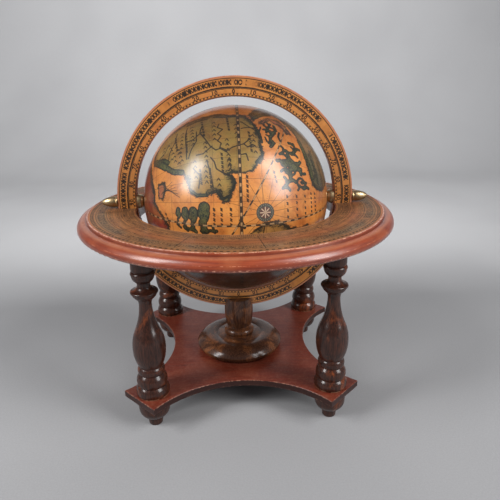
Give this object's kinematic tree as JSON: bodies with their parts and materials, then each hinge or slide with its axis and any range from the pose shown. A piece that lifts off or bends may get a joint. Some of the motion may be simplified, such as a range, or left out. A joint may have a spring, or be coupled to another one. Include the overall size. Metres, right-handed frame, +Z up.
{
  "type": "desktop globe on stand",
  "caption": "Old-world style desktop globe in a meridian ring, set in a broad horizon ring on a turned wooden stand with a shelf and a slotted pedestal.",
  "frame": {"origin": "on the table, under the middle of the stand", "axes": "+Z up; +X along the globe's polar axis, towards the north pole; +Y towards the back of the stand"},
  "size_m": [0.22, 0.22, 0.225],
  "materials": {
    "red_wood": "gloss",
    "dark_wood": "gloss",
    "scale_print": "satin",
    "horizon_print": "satin",
    "map_print": "gloss",
    "core_board": "matte",
    "brass": "satin",
    "steel": "satin"
  },
  "bodies": {
    "stand": {"horizon_ring": "red_wood", "horizon_paper": "horizon_print", "shelf": "red_wood", "pedestal_base": "dark_wood", "pedestal_column": "dark_wood", "pedestal_screw": "steel", "leg_front_left": "dark_wood", "leg_front_right": "dark_wood", "leg_back_left": "dark_wood", "leg_back_right": "dark_wood", "foot_front_left": "dark_wood", "foot_front_right": "dark_wood", "foot_back_left": "dark_wood", "foot_back_right": "dark_wood"},
    "meridian": {"meridian_ring": "red_wood", "meridian_scale_front": "scale_print", "meridian_scale_back": "scale_print", "axle_rod": "steel", "finial_north": "brass", "finial_south": "brass", "pole_spacer_north": "brass", "pole_spacer_south": "brass"},
    "globe": {"equator_collar": "core_board", "globe_shell_north": "core_board", "globe_shell_south": "core_board", "globe_map_north": "map_print", "globe_map_south": "map_print", "pole_plug_north": "core_board", "pole_plug_south": "core_board"}
  },
  "joints": [
    {"name": "meridian_lift", "type": "slide", "parent": "stand", "child": "meridian", "axis": [0, 0, 1], "range_m": [0, 0.09]},
    {"name": "globe_spin", "type": "hinge", "parent": "meridian", "child": "globe", "pos_m": [0, 0, 0.1417], "axis": [1, 0, 0], "continuous": true}
  ]
}
